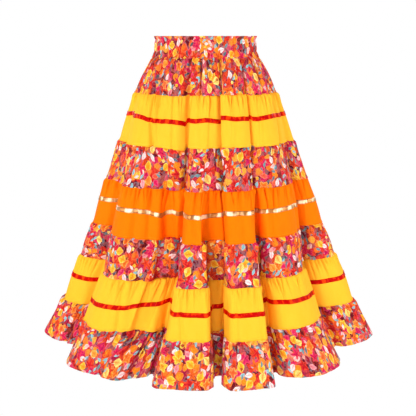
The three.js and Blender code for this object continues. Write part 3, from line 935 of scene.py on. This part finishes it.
# a crease: where it starts and ends, counted in fold turns, its depth at the top and foot of the tier and
# its width on its left and right
backCreases = [
    (12.6, 12.7, 3, 4, 7, 5), (13.1, 13.0, 6, 9, 12, 4), (14.2, 14.1, 3, 2, 6, 6),
    (15.0, 14.9, 7, 9, 4, 11), (15.7, 15.9, 3, 3, 6, 7), (17.05, 17.0, 8, 11, 12, 4),
    (17.9, 18.0, 3, 2, 5, 5), (19.0, 18.95, 7, 10, 4, 12), (19.8, 19.7, 3, 3, 6, 6),
    (21.1, 21.0, 8, 10, 12, 5), (21.6, 21.5, 3, 4, 6, 6),
]
tierFacts = [
    {
        "name": "tier1_print", "finish": "leafPrint", "belly": 5,
        "columnStep": 2.4, "fineDepth": 60, "rows": 22, "fullness": 1.36,
        "gathers": [(9, 3.2, 30, 1.2), (20, 5.5, 80, 1.0), (48, 5.0, 150, 0)],
        "creases": [
            (0, 0, 5, 0, 30, 30), (12, 12, 2, 0, 30, 30), (0.8, 1.1, 3, 4, 6, 5), (2.2, 1.6, 2, 4, 6, 5),
            (3.1, 2.45, 3, 5, 7, 6), (4.5, 4.5, 5, 2, 5, 5), (5.15, 5.12, 7, 11, 8, 3.2),
            (6.05, 6.0, 5, 3, 5, 4), (6.7, 6.5, 3, 2, 6, 6), (7.6, 7.58, 7, 12, 8, 3.2),
            (8.28, 8.3, 4.5, 3, 4, 5), (9.1, 8.9, 6, 8, 4, 8), (10.05, 10.05, 4, 5, 5, 6),
            (11.0, 10.9, 3, 5, 6, 6),
        ],
    },
    {
        "name": "tier2_yellow", "finish": "yellowCotton", "belly": 3,
        "columnStep": 2.855, "fineDepth": 45, "rows": 23, "fullness": 1.05,
        "gathers": [(12, 3.9, 20, 1.7), (24, 6.2, 44, 1.4), (60, 3.5, 120, 0)],
        "creases": [
            (0, 0, 0, 3, 30, 30), (0.8, 1.3, 3, 8, 8, 4), (2.4, 2.66, 3, 6, 5, 5),
            (2.85, 2.9, 4, 1, 5, 5), (4.1, 4.0, 3, 3, 4, 5), (5.15, 5.12, 10, 10, 7, 3.2),
            (5.9, 5.9, 3, 0.5, 5, 5), (6.7, 6.6, 3, 3, 8, 8), (7.48, 7.5, 15, 17, 9, 3),
            (8.0, 8.0, 3, 2, 5, 5), (9.0, 8.85, 8, 11, 3.2, 7), (9.8, 9.55, 3, 2, 5, 5),
            (10.7, 10.3, 4, 6, 5, 10), (11.6, 11.3, 3, 4, 6, 6),
        ],
        "ribbon": "ribbon1_red", "ribbonAt": 0.45, "ribbonFinish": "redSatin",
        "sag": [
            (0, -1), (1.3, -5), (1.85, -3.5), (2.1, 0), (2.3, 4), (2.65, 7), (3.2, 7), (3.6, 4), (4.2, 3),
            (4.7, 5), (4.9, 8), (4.97, 5), (5.2, 3), (5.8, 4.5), (6.2, 1.5), (6.9, 4), (7.3, 5),
            (7.42, 0), (7.75, -1), (8.05, 2), (8.3, 1), (8.8, 3.5), (9.1, 0), (9.6, 2), (10, -1),
            (10.2, -3), (11, 0), (12, -2), (14, 2), (15, -2), (16.5, 3), (17.1, -1), (18.5, 2),
            (19.2, -2), (20.6, 3), (21.3, -1), (22, -1),
        ],
    },
    {
        "name": "tier3_print", "finish": "leafPrint", "belly": 0,
        "columnStep": 2.7, "fineDepth": 45, "rows": 22, "fullness": 1.12,
        "gathers": [(12, 3.6, 26, 1.2), (24, 5.8, 52, 1.0), (58, 3.5, 110, 0)],
        "creases": [
            (0, 0, 3, 4, 30, 30), (1.12, 1.14, 11, 12, 9, 5), (1.5, 1.55, 1, 6, 14, 14),
            (11.02, 11.04, 11, 12, 5, 9), (1.35, 1.35, 10, 11, 9, 3.5), (2.05, 2.15, 3, 4, 8, 8),
            (2.5, 2.6, 5, 6, 9, 9), (3.5, 3.4, 5, 8, 10, 8), (5.2, 5.12, 12, 13, 8, 3.2),
            (5.9, 5.95, 3, 1, 5, 5), (6.45, 6.45, 4, 4, 10, 10), (7.42, 7.42, 17, 19, 9, 3),
            (8.1, 8.1, 2, 1.5, 6, 6), (8.75, 8.65, 12, 13, 3.2, 8), (9.6, 9.65, 3, 3, 8, 8),
            (10.8, 10.8, 9, 10, 4, 9), (11.5, 11.5, 2, 2, 6, 6),
        ],
    },
    {
        "name": "tier4_orange", "finish": "orangeCotton", "belly": 4,
        "columnStep": 3.05, "fineDepth": 45, "rows": 23, "fullness": 1.05,
        "gathers": [(12, 4.2, 21, 1.7), (26, 6.8, 46, 1.4), (66, 3.5, 120, 0)],
        "creases": [
            (0, 0, 6, 6, 30, 30), (12, 12, 1, 2, 30, 30), (1.12, 0.94, 13, 14, 13, 9),
            (1.42, 1.35, 10, 1, 34, 26), (10.98, 11.1, 12, 13, 8, 12), (10.7, 10.7, 3, 2, 9, 9),
            (1.5, 1.28, 7, 12, 12, 5), (2.23, 2.31, 5, 5, 12, 10), (2.7, 2.77, 4, 2, 6, 6),
            (3.7, 3.8, 9, 8, 12, 10), (4.3, 4.4, 6, 8, 14, 8), (5.35, 5.17, 12, 12, 8, 3),
            (5.9, 5.9, 3, 1, 5, 5), (6.42, 6.44, 5, 6, 14, 12), (7.0, 7.0, 2, 2, 14, 14),
            (7.25, 7.25, 16, 18, 5, 3), (8.05, 8.05, 3, 1.5, 6, 6), (8.75, 9.0, 12, 14, 3.2, 9),
            (9.7, 9.74, 3, 2, 8, 8), (10.75, 11.0, 13, 14, 3.5, 12),
        ],
        "ribbon": "ribbon2_gold", "ribbonAt": 0.45, "ribbonFinish": "goldRibbon",
        "sag": [
            (0, 0), (0.4, -2), (1.2, -3), (1.5, -1), (2.0, 0), (2.6, 0), (2.8, 4), (3.2, 7), (3.4, 9),
            (3.7, 3), (4.1, -1), (4.6, 4), (5.2, 4), (5.6, 2.5), (6.0, 4), (6.3, 7), (6.8, 8), (7.2, 4),
            (7.6, -5), (8.1, -4.5), (8.5, -2), (9.0, 2), (9.5, 2), (10, 1), (10.4, -1), (10.8, 5),
            (11.3, 3), (12, 0), (13.4, 3), (14.3, -2), (15.3, 3), (16.4, -2), (17.4, 3), (18.5, 0),
            (19.4, -3), (20.4, 2), (22, 0),
        ],
    },
    {
        "name": "tier5_print", "finish": "leafPrint", "belly": 4,
        "columnStep": 3.15, "fineDepth": 40, "rows": 23, "fullness": 1.12,
        "gathers": [(13, 4.0, 26, 1.2), (27, 6.2, 52, 1.0), (70, 4.0, 120, 0)],
        "creases": [
            (0, 0, 7, 8, 30, 30), (12, 12, 3, 6, 30, 30), (0.88, 0.8, 10, 11, 12, 8),
            (11.14, 11.2, 9, 10, 5, 12), (1.2, 1.25, 12, 12, 14, 5), (2.3, 2.3, 4, 4, 10, 10),
            (2.8, 2.8, 4, 3, 8, 8), (3.52, 3.55, 7, 6, 12, 10), (4.5, 4.5, 4, 4, 8, 4),
            (5.0, 5.0, 8, 8, 7, 3.5), (6.2, 6.2, 3, 3, 8, 8), (6.7, 6.7, -3, -4, 7, 9),
            (7.2, 7.2, 6, 6, 5, 3), (8.15, 8.1, 3, 1, 6, 6), (9.0, 9.1, 12, 12, 3.5, 10),
            (9.7, 9.75, 3, 2, 8, 8), (11.0, 11.0, 10, 10, 5, 14),
        ],
    },
    {
        "name": "tier6_yellow", "finish": "yellowCotton", "belly": 5,
        "columnStep": 3.55, "fineDepth": 40, "rows": 23, "fullness": 1.05,
        "gathers": [(13, 4.4, 18, 1.7), (28, 6.2, 34, 1.3), (74, 3.0, 120, 0)],
        "creases": [
            (0, 0, 9, 6, 30, 30), (12, 12, 5, 2, 30, 30), (0.8, 0.74, 9, 10, 16, 14),
            (11.05, 11.1, 9, 10, 14, 16), (1.64, 1.62, -1, -7.5, 12, 12), (10.5, 10.5, -4, -4, 12, 12),
            (1.2, 1.2, 9, 9, 16, 6), (2.3, 2.68, 3, 3, 6, 6), (2.65, 3.03, 2, 3, 10, 10),
            (3.2, 3.45, 6, 6, 16, 16), (3.8, 4.25, -7, -8, 16, 12), (4.3, 4.75, 4, 3, 8, 8),
            (4.8, 4.88, 7, 7, 8, 3.5), (5.8, 5.92, 3, 2, 5, 5), (6.7, 6.7, -6, -3, 8, 10),
            (7.15, 7.15, 3, 4, 5, 3), (7.9, 7.9, 2, 2, 5, 5), (8.25, 8.2, 3, 2, 5, 5),
            (9.25, 9.25, 11, 11, 5, 14), (10.9, 10.9, 9, 9, 5, 14),
        ],
        "ribbon": "ribbon3_red", "ribbonAt": 0.48, "ribbonFinish": "redSatin",
        "sag": [
            (0, -9), (0.3, -6), (0.9, -5), (1.3, 0), (1.55, 3), (1.7, 9), (1.95, 6), (2.2, 4), (2.5, 6),
            (2.75, 4), (3.0, -2), (3.3, 0), (3.9, 0), (4.3, -4), (4.8, -5), (5.2, -3), (5.7, 0), (6.3, 1),
            (6.6, 5), (7.1, 4), (7.2, 0), (7.5, 1), (8.1, 3), (8.5, 4), (9.2, -1), (9.7, -3), (10.2, 0),
            (10.6, 2), (11.1, -2), (11.6, -4), (12, -6), (13.4, 2), (14.4, -2), (15.6, 3), (16.6, -3),
            (17.5, 2), (18.6, -2), (19.6, 3), (20.8, -2), (22, -9),
        ],
    },
    {
        "name": "tier7_print", "finish": "leafPrint", "belly": 0,
        "columnStep": 3.3, "fineDepth": 45, "rows": 22, "fullness": 1.12,
        "gathers": [(14, 4.2, 28, 1.2), (29, 6.6, 62, 1.0), (76, 5.0, 160, 0)],
        "creases": [
            (0.66, 0.6, 8, 7, 15, 6), (1.62, 1.6, -7.5, 0, 12, 12), (11.2, 11.22, 8, 7, 6, 14),
            (1.2, 1.2, 7, 6, 14, 8), (2.75, 3.07, 4, 6, 9, 10), (4.2, 4.38, 4, 4, 14, 14),
            (4.9, 4.95, 8, 8, 8, 3.5), (6.7, 6.7, -3, -3, 7, 9), (7.2, 7.2, 3, 3, 6, 4),
            (9.25, 9.2, 9, 9, 6, 14), (11.0, 10.8, 7, 7, 8, 14),
        ],
    },
]
tierShape = {
    "tuck": 3.0,  # how far a tier's top goes up behind the tier above
    "tuckIn": 1.0,  # how far inside that tier's foot it is sewn
    "puff": 3.5,  # how far the gathered cloth swells just below its seam
    "puffDrop": 7.0,
    "puffFade": 20.0,
    "gatherStart": 0.3,  # how strong the gathers are at the seam itself
    "gatherRise": 4.0,
    "sideGroove": 1.0,
    "sideGrooveWidth": 1.6,
    "grainStep": 1.5,
    "grainLength": 60.0,
    "creaseDepth": 1.6,
    "crowdDepth": 5,  # creases this deep have their columns closer together
    "lapOver": 0.42,  # how far a sharp edge laps over its crease, for its depth
    "lapAt": (1.2, 0.9),  # where and how broadly, in widths of the sharp side
    "lapLip": 0.1,
    "lipAt": (2.0, 1.2),
    "footLip": 1.4,
    "footLipReach": 3.0,
    "footSpacing": 17.0,  # how the gathers of the tier below ripple this one's foot
    "footRippleReach": 9.0,
    "footRipple": 0.6,
    "footWave": 1.2,
    "footWaveReach": 6.0,
    "seedStep": 100,  # from tier to tier
    "footSeed": 50,
    "rowCrowding": 1.35,  # how much closer together the rows are at the top
    "printStep": 1370.0,  # each tier is cut from its own place on the print
    "clothThickness": 0.0007,
    "ribbonThickness": 0.0005,
    "ribbonLift": 0.35,
    "ribbonWidth": 12.0,
    "ribbonRows": 5,
    "ribbonWander": 24.0,  # how far up or down from its middle line a ribbon can go
    "ribbonLevels": 13,
}


class TierCloth:  # one tier as a function of how far down it and how far round
    def __init__(self, facts, index):
        self.facts, self.index = facts, index
        upper, lower = ringSizes[index], ringSizes[index + 1]
        self.drop = upper[0] - lower[0]
        self.creases = facts["creases"] + backCreases
        deep = [crease for crease in self.creases if max(crease[2:4]) >= tierShape["crowdDepth"]]
        crowds = [(min(crease[:2]), max(crease[:2])) for crease in deep]
        self.laps, self.places, self.whole, self.frontCount = crowdedLaps(
            *ringBetween(index, 1.0), facts["columnStep"], crowds
        )
        seed = tierShape["seedStep"] * index
        self.patterns = [
            ridgePattern(self.whole, spacing, seed + order)
            for order, (spacing, _, _, _) in enumerate(facts["gathers"])
        ]
        self.footPattern = ridgePattern(self.whole, tierShape["footSpacing"], seed + tierShape["footSeed"])
        # the cloth's own length from seam to seam
        self.slant = math.hypot((lower[1] - upper[1] + lower[2] - upper[2]) / 2, self.drop)

    def row(self, share, lift=0.0, plain=False):
        within = min(max(share, 0.0), 1.0)
        ring, down = ringBetween(self.index, within)
        ring = ring.copy()
        ring[0] -= (share - within) * self.drop
        ring[1:4] += self.facts["belly"] * math.sin(math.pi * within)
        line = ringLine(ring, down, self.laps)
        if plain:
            return line
        normals = levelNormals(line)
        tangents = np.stack([-normals[:, 1], normals[:, 0]], axis=-1)
        below, above = within * self.slant, (1 - share) * self.slant
        out, aside = np.full(len(line), lift, float), np.zeros(len(line))
        swell = (1 - math.exp(-2 * below / tierShape["puffDrop"])) * math.exp(-below / tierShape["puffFade"])
        out += tierShape["puff"] * swell
        start = tierShape["gatherStart"]
        strength = start + (1 - start) * (1 - math.exp(-below / tierShape["gatherRise"]))
        for pattern, (_, height, reach, pinch) in zip(self.patterns, self.facts["gathers"]):
            out += strength * height * ridgeHeights(pattern, self.places, below, reach, pinch)
        ripple = ridgeHeights(self.footPattern, self.places, above, tierShape["footRippleReach"])
        out += tierShape["footRipple"] * ripple
        wave = tierShape["footWave"] * ripple * math.exp(-above / tierShape["footWaveReach"])
        line[:, 2] += wave + panelLift(self.laps, ring[0])
        if self.index < len(ringSizes) - 2:
            out += tierShape["footLip"] * math.exp(-above / tierShape["footLipReach"])
        distance, whole = ringDistances(line)
        lapAt, lapWidth = tierShape["lapAt"]
        lipAt, lipWidth = tierShape["lipAt"]
        for start, end, topDepth, footDepth, leftWidth, rightWidth in self.creases:
            lap = start + (end - start) * share
            centre = np.interp(lap % turnCount, np.append(self.laps, turnCount), np.append(distance, whole))
            away = (distance - centre + whole / 2) % whole - whole / 2
            depth = tierShape["creaseDepth"] * (topDepth + (footDepth - topDepth) * share)
            out -= depth * dent(away, np.where(away < 0, leftWidth, rightWidth))
            sharp, wide = sorted((leftWidth, rightWidth))
            side = 1 if rightWidth < leftWidth else -1
            past = away * side / sharp  # on the sharp side the cloth laps over the trough
            lapping = depth * (1 - sharp / wide)
            aside -= side * tierShape["lapOver"] * lapping * dent(past - lapAt, lapWidth)
            out += tierShape["lapLip"] * lapping * dent(past - lipAt, lipWidth)
        for seam in (0.0, distance[self.frontCount]):
            away = np.abs(distance - seam)
            away = np.minimum(away, whole - away)
            out -= tierShape["sideGroove"] * dent(away, tierShape["sideGrooveWidth"])
        line[:, :2] += normals * out[:, None] + tangents * aside[:, None]
        return line

    def surface(self, shares, lift=0.0):
        return np.stack([self.row(share, lift) for share in shares])

    def sewingLine(self):  # where the tier below is sewn on, along the inside of this one's foot
        line = self.row(1 - tierShape["tuck"] / self.slant)
        line[:, :2] -= levelNormals(line) * tierShape["tuckIn"]
        return self.laps, line

    def cut(self, shares, points):
        # where each point lies across the flat cloth, whose grain hangs down and which no fold stretches
        steps = np.linalg.norm(np.roll(points, -1, axis=1) - points, axis=2)
        steps *= steps[1:].sum(axis=1).mean() * self.facts["fullness"] / steps.sum(axis=1, keepdims=True)
        count = steps.shape[1]
        grain = tierShape["grainStep"] / tierShape["grainLength"]
        stiffness = 2 - 2 * np.cos(2 * np.pi * np.fft.rfftfreq(count)) + grain**2
        lines = np.stack([self.row(share, plain=True) for share in shares])
        rows, width = [], steps[-1].sum()
        for number in range(len(shares) - 1, -1, -1):
            if not rows:
                rows.append(np.concatenate([[0], np.cumsum(steps[-1])[:-1]]))
                continue
            lower, upper = lines[number + 1], lines[number]
            level = (np.roll(lower, -1, axis=0) - np.roll(lower, 1, axis=0))[:, :2]
            level /= np.linalg.norm(level, axis=1, keepdims=True)
            hung = rows[-1] + ((upper - lower)[:, :2] * level).sum(axis=1) * self.facts["fullness"]
            slack = steps[number] - (np.append(hung[1:], hung[0] + width) - hung)
            pull = np.roll(slack, 1) - slack
            rows.append(hung + np.fft.irfft(np.fft.rfft(pull) / stiffness, count))
        rows = np.stack(rows[::-1])
        return np.concatenate([rows, rows[:, :1] + width], axis=1), width


def gridMesh(name, points, across, along, closed, finishes, fineRows=None):
    # rows from the top, columns to the right; below the fine rows only every other column is kept
    rows, columns = points.shape[:2]
    fineRows = rows if fineRows is None else fineRows
    width = columns + 1 if closed else columns  # a closed ring's last column is its first
    number = np.full((rows, width), -1)
    kept = np.zeros((rows, columns), bool)
    kept[:fineRows] = True
    kept[fineRows:, ::2] = True
    number[:, :columns][kept] = np.arange(kept.sum())
    if closed:
        number[:, -1] = number[:, 0]
    corners = []
    for row in range(rows - 1):
        stride = 1 if row + 1 < fineRows else 2
        left = np.arange(0, width - 1, stride)
        right = left + stride
        places = [(row, left), (row + 1, left), (row + 1, right), (row, right)]
        if row + 1 == fineRows:
            places.append((row, left + 1))
        corners.append(places)
    starts, vertexNumbers, cornerPlaces, total = [], [], [], 0
    for places in corners:
        size, count = len(places), len(places[0][1])
        block = np.stack([number[row, column] for row, column in places], axis=1)
        spots = np.stack([np.stack([np.full(count, row), column], axis=1) for row, column in places], axis=1)
        vertexNumbers.append(block.ravel())
        cornerPlaces.append(spots.reshape(-1, 2))
        starts.append(total + size * np.arange(count))
        total += size * count
    vertexNumbers, cornerPlaces, starts = map(np.concatenate, (vertexNumbers, cornerPlaces, starts))
    mesh = bpy.data.meshes.new(name)
    mesh.vertices.add(int(kept.sum()))
    mesh.vertices.foreach_set("co", (points[kept] * millimetre).astype(np.float32).ravel())
    mesh.loops.add(total)
    mesh.loops.foreach_set("vertex_index", vertexNumbers.astype(np.int32))
    mesh.polygons.add(len(starts))
    mesh.polygons.foreach_set("loop_start", starts.astype(np.int32))
    mesh.polygons.foreach_set("use_smooth", np.ones(len(starts), bool))
    mesh.update(calc_edges=True)
    row, column = cornerPlaces.T
    flat = np.stack([across[row, column], along[row]], axis=-1) * millimetre
    mesh.uv_layers.new(name="cloth").uv.foreach_set("vector", flat.astype(np.float32).ravel())
    for finish in finishes:
        mesh.materials.append(materials[finish])
    piece = bpy.data.objects.new(name, mesh)
    bpy.context.collection.objects.link(piece)
    return piece


def thicken(piece, thickness, reverse=False, outwards=False):
    shell = piece.modifiers.new("clothThickness", "SOLIDIFY")
    shell.thickness = thickness
    shell.offset = 1.0 if outwards else -1.0
    shell.use_even_offset = False
    if reverse:
        shell.material_offset = 1


def declare(piece, node):
    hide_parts(node)
    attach(piece, "root")


slotNames = {"leafPrint": "leaf_print", "yellowCotton": "yellow_cotton", "orangeCotton": "orange_cotton"}
slotNames |= {"redSatin": "red_satin", "goldRibbon": "gold_ribbon"}


def makeTrim(facts, cloth, across, along):  # the ribbon sewn round a tier
    middle, half = facts["ribbonAt"], tierShape["ribbonWidth"] / 2
    levels = np.linspace(-tierShape["ribbonWander"], tierShape["ribbonWander"], tierShape["ribbonLevels"])
    near = cloth.surface(middle + levels / cloth.slant, lift=tierShape["ribbonLift"])[:, ::2]
    sag = np.interp(cloth.laps[::2], *zip(*facts["sag"]))
    step, column = levels[1] - levels[0], np.arange(len(sag))
    offsets = np.linspace(-half, half, tierShape["ribbonRows"])
    points = []
    for offset in offsets:
        reached = (sag + offset - levels[0]) / step
        first = reached.astype(int)
        past = (reached - first)[:, None]
        points.append(near[first, column] * (1 - past) + near[first + 1, column] * past)
    row = np.searchsorted(cloth.slant - along, middle * cloth.slant)
    ribbonAcross = np.tile(across[row, ::2], (len(offsets), 1))
    finish = facts["ribbonFinish"]
    name = facts["ribbon"]
    ribbon = gridMesh(name + "_cloth", np.stack(points), ribbonAcross, offsets[::-1], True, [finish])
    thicken(ribbon, tierShape["ribbonThickness"], outwards=True)
    declare(ribbon, name)


def makeTier(facts, index, sewingLine):
    cloth = TierCloth(facts, index)
    shares = np.linspace(0, 1, facts["rows"]) ** tierShape["rowCrowding"]
    aboveLaps, aboveLine = sewingLine
    head = [np.interp(cloth.laps, aboveLaps, axis, period=turnCount) for axis in aboveLine.T]
    points = np.concatenate([np.stack(head, axis=-1)[None], cloth.surface(shares)])
    shares = np.concatenate([[-tierShape["tuck"] / cloth.slant], shares])
    along = (1 - shares) * cloth.slant
    across, width = cloth.cut(shares, points)
    across = across + tierShape["printStep"] * index
    count = cloth.frontCount
    closedPoints = np.concatenate([points, points[:, :1]], axis=1)
    fineRows = 2 + int(np.searchsorted(shares * cloth.slant, facts["fineDepth"]))
    for side, start, end in (("front", 0, count), ("back", count, len(cloth.laps))):
        name = f"{facts['name']}_{side}"
        finishes = [facts["finish"]]
        printed = facts["finish"] == "leafPrint"
        if printed:
            finishes.append("leafPrintReverse")
        part = slice(start, end + 1)
        panel = (closedPoints[:, part], across[:, part], along)
        piece = gridMesh(name + "_cloth", *panel, False, finishes, fineRows)
        thicken(piece, tierShape["clothThickness"], reverse=printed)
        declare(piece, name)
    if "ribbon" in facts:
        makeTrim(facts, cloth, across, along)
    print(facts["name"], "made, flat", round(width), "by", round(cloth.slant))
    return cloth.sewingLine()


waistbandCloth = {
    "columnStep": 2.3,
    "flatWidth": 1150.0,
    "printStart": (7100.0, 40.0),  # where on the print it is cut, across and up
    "thickness": 2.6,
    "shirring": [(8, 2.7), (19, 2.1)],  # spacing and height of the ripples the elastic draws up
    "seed": 40,
    "sway": 1.6,  # how far the ripples wander sideways
    "swayLengths": (37.0, 19.0),
    "elasticRows": [17.0, -12.0],  # heights at which the ripples are held flatter
    "elasticReach": 2.5,
    "elasticHold": 0.35,
    "headingFoot": 17.0,  # above the elastic the heading stands free and frills
    "headingHeight": 10.0,
    "headingFlare": 0.6,
    "headingRipple": 0.9,
    "headingFrill": 0.6,
    "profile": [  # height, how far drawn in
        (-29.5, 1.6), (-28, 1.8), (-24, 3.0), (-20, 4.2), (-16, 5.6), (-12, 6.8), (-8, 6.2), (-4, 6.0),
        (0, 5.8), (4, 5.6), (8, 5.4), (12, 5.8), (15, 6.4), (17, 7.0), (19, 6.2), (21.5, 5.2), (24, 4.2),
        (26, 3.6), (27, 3.8),
    ],
}


def makeWaistband():
    facts = waistbandCloth
    laps, places, whole, _ = crowdedLaps(*ringBetween(0, 0.5), facts["columnStep"], [])
    ripples = [
        ridgePattern(whole, spacing, facts["seed"] + order)
        for order, (spacing, _) in enumerate(facts["shirring"])
    ]
    swayAcross, swayUp = facts["swayLengths"]
    profile = facts["profile"]
    rows, along, travelled, before = [], [], 0.0, None
    for side in ("outer", "inner"):
        for height, drawnIn in profile if side == "outer" else profile[::-1]:
            share = (ringSizes[0, 0] - height) / (ringSizes[0, 0] - ringSizes[1, 0])
            ring, down = ringBetween(0, min(max(share, 0.0), 1.0))
            ring = ring.copy()
            ring[0] = height
            line = ringLine(ring, down, laps)
            normals = levelNormals(line)
            heading = max(0.0, (height - facts["headingFoot"]) / facts["headingHeight"])
            fromRows = [(height - row) / facts["elasticReach"] for row in facts["elasticRows"]]
            held = 1 - facts["elasticHold"] * sum(math.exp(-(away**2)) for away in fromRows)
            out = np.full(len(line), -drawnIn, float) + facts["headingFlare"] * heading
            swayed = places + facts["sway"] * np.sin(places / swayAcross + height / swayUp)
            for pattern, (_, rise) in zip(ripples, facts["shirring"]):
                rise += facts["headingRipple"] * heading
                out += held * rise * ridgeHeights(pattern, swayed, 0.0, 1.0)
            if side == "inner":
                out -= facts["thickness"]
            line[:, :2] += normals * out[:, None]
            line[:, 2] += facts["headingFrill"] * heading * ridgeHeights(ripples[1], places, 0.0, 1.0)
            rows.append(line)
            here = np.array([drawnIn + (0 if side == "outer" else facts["thickness"]), height])
            travelled += 0 if before is None else np.linalg.norm(here - before)
            before = here
            along.append(travelled)
    points = np.stack(rows)[::-1]
    printAcross, printUp = facts["printStart"]
    across = np.append(places, whole) * facts["flatWidth"] / whole + printAcross
    across = np.tile(across, (len(points), 1))
    along = np.array(along)[::-1] + printUp
    band = gridMesh("waistband_cloth", points, across, along, True, ["leafPrint"])
    declare(band, "waistband")
    print("waistband made")
    sewnRow = 2  # the first tier goes up between the outer and the inner cloth
    return laps, (rows[sewnRow] + rows[-1 - sewnRow]) / 2


sewingLine = makeWaistband()
for tierNumber, tierFact in enumerate(tierFacts):
    sewingLine = makeTier(tierFact, tierNumber + 1, sewingLine)
